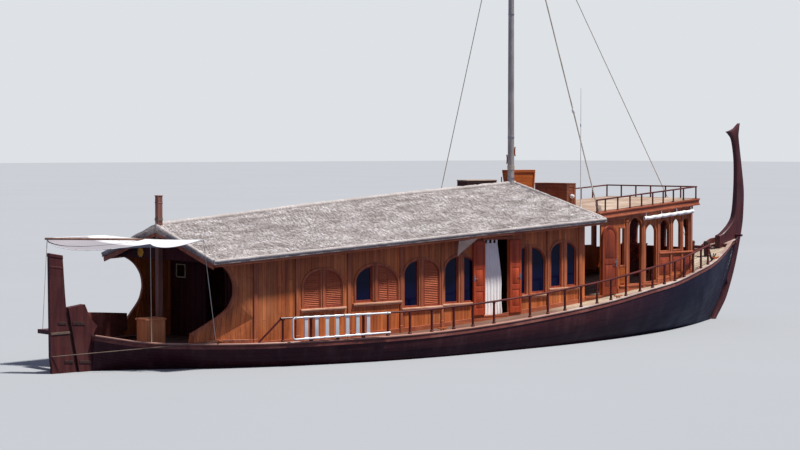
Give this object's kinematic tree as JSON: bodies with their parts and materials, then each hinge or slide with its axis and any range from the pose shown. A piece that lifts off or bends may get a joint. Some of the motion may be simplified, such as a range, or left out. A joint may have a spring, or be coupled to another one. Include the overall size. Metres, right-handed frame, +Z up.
{
  "type": "dhoni motor yacht",
  "caption": "Wooden motor yacht of the dhoni type with a tall curved stem, long thatched deckhouse, sun deck, mast and outboard rudder.",
  "frame": {"origin": "amidships on the centreline at the level of the water", "axes": "+X to the bow, +Y to port, +Z up"},
  "size_m": [25.38, 6.6588, 14.88],
  "materials": {
    "hull_planking": "dark oiled timber, satin",
    "house_timber": "varnished red-brown timber, satin",
    "trim_timber": "varnished timber, satin",
    "post_timber": "varnished dark timber, satin",
    "deck_planks": "worn pale timber, matt",
    "thatch": "weathered thatch, matt",
    "spar_timber": "weathered spar, satin",
    "cloth": "awning cloth, matt",
    "white_cloth": "cotton cloth, matt",
    "white_plastic": "gloss",
    "aluminium": "brushed",
    "bronze": "dull",
    "rope": "laid rope, matt",
    "black_iron": "painted, matt"
  },
  "bodies": {
    "boat": {"hull": "hull_planking", "deck": "deck_planks", "gunwale": "trim_timber", "keel": "post_timber", "stem_post": "post_timber", "stern_post": "post_timber", "roof_thatch": "thatch", "sun_deck": "trim_timber", "sun_deck_rail": "trim_timber", "house_wall_stbd": "house_timber", "house_wall_port": "house_timber", "quarter_stbd": "house_timber", "quarter_port": "house_timber", "fore_wall_stbd": "house_timber", "fore_wall_port": "house_timber", "bulkhead_aft": "house_timber", "bulkhead_fore": "house_timber", "front_wall": "house_timber", "aft_post": "trim_timber", "gable_board": "house_timber", "handrail_stbd": "trim_timber", "handrail_port": "trim_timber", "boarding_ladder": "aluminium", "mast": "spar_timber", "mast_case": "trim_timber", "deck_locker": "house_timber", "roof_hatch": "house_timber", "antenna": "white_plastic", "fore_stay": "rope", "stay_stbd": "rope", "shroud_port": "rope", "aft_box": "trim_timber", "helm_console": "house_timber", "awning_spar": "spar_timber", "awning": "cloth", "curtain": "white_cloth", "pennant": "cloth", "rolled_awning": "white_cloth", "anchor": "black_iron"},
    "rudder_blade": {"rudder": "post_timber"},
    "screw": {"propeller": "bronze"},
    "steering_wheel": {"helm_wheel": "trim_timber"},
    "cabin_door_aft_s": {"cabin_door_aft_stbd": "trim_timber"},
    "cabin_door_fore_s": {"cabin_door_fore_stbd": "trim_timber"},
    "cabin_door_aft_p": {"cabin_door_aft_port": "trim_timber"},
    "cabin_door_fore_p": {"cabin_door_fore_port": "trim_timber"},
    "passage_door_s": {"passage_door_stbd": "trim_timber"},
    "passage_door_p": {"passage_door_port": "trim_timber"},
    "box_lid": {"aft_box_lid": "trim_timber"},
    "locker_lid": {"deck_locker_lid": "trim_timber"}
  },
  "joints": [
    {"name": "rudder_turn", "type": "hinge", "parent": "boat", "child": "rudder_blade", "pos_m": [-11.3381, 0, 0], "axis": [-0.1867, 0, 0.9824], "range_deg": [-35, 35]},
    {"name": "propeller_spin", "type": "hinge", "parent": "boat", "child": "screw", "pos_m": [-10.56, 0, -0.72], "axis": [1, 0, 0], "continuous": true},
    {"name": "helm_turn", "type": "hinge", "parent": "boat", "child": "steering_wheel", "pos_m": [8.13, 0, 2.26], "axis": [1, 0, 0], "range_deg": [-540, 540]},
    {"name": "cabin_door_aft_s_swing", "type": "hinge", "parent": "boat", "child": "cabin_door_aft_s", "pos_m": [0.13, -2.05, 1.87], "axis": [0, 0, 1], "range_deg": [0, 180]},
    {"name": "cabin_door_fore_s_swing", "type": "hinge", "parent": "boat", "child": "cabin_door_fore_s", "pos_m": [1.03, -2.05, 1.87], "axis": [0, 0, 1], "range_deg": [-180, 0]},
    {"name": "cabin_door_aft_p_swing", "type": "hinge", "parent": "boat", "child": "cabin_door_aft_p", "pos_m": [0.13, 2.05, 1.87], "axis": [0, 0, 1], "range_deg": [-180, 0]},
    {"name": "cabin_door_fore_p_swing", "type": "hinge", "parent": "boat", "child": "cabin_door_fore_p", "pos_m": [1.03, 2.05, 1.87], "axis": [0, 0, 1], "range_deg": [0, 180]},
    {"name": "passage_door_s_swing", "type": "hinge", "parent": "boat", "child": "passage_door_s", "pos_m": [4.66, -2.05, 2.18], "axis": [0, 0, 1], "range_deg": [-175.9, 0]},
    {"name": "passage_door_p_swing", "type": "hinge", "parent": "boat", "child": "passage_door_p", "pos_m": [4.66, 2.05, 2.18], "axis": [0, 0, 1], "range_deg": [0, 175.9]},
    {"name": "box_lid_lift", "type": "hinge", "parent": "boat", "child": "box_lid", "pos_m": [-9.3125, 0.065, 1.15], "axis": [-1, 0, 0], "range_deg": [0, 100]},
    {"name": "locker_lid_lift", "type": "hinge", "parent": "boat", "child": "locker_lid", "pos_m": [5.085, 0, 4.29], "axis": [0, 1, 0], "range_deg": [0, 95]}
  ],
  "couplings": [
    {"joint": "rudder_turn", "follows": "helm_turn", "ratio": 0.064815}
  ]
}
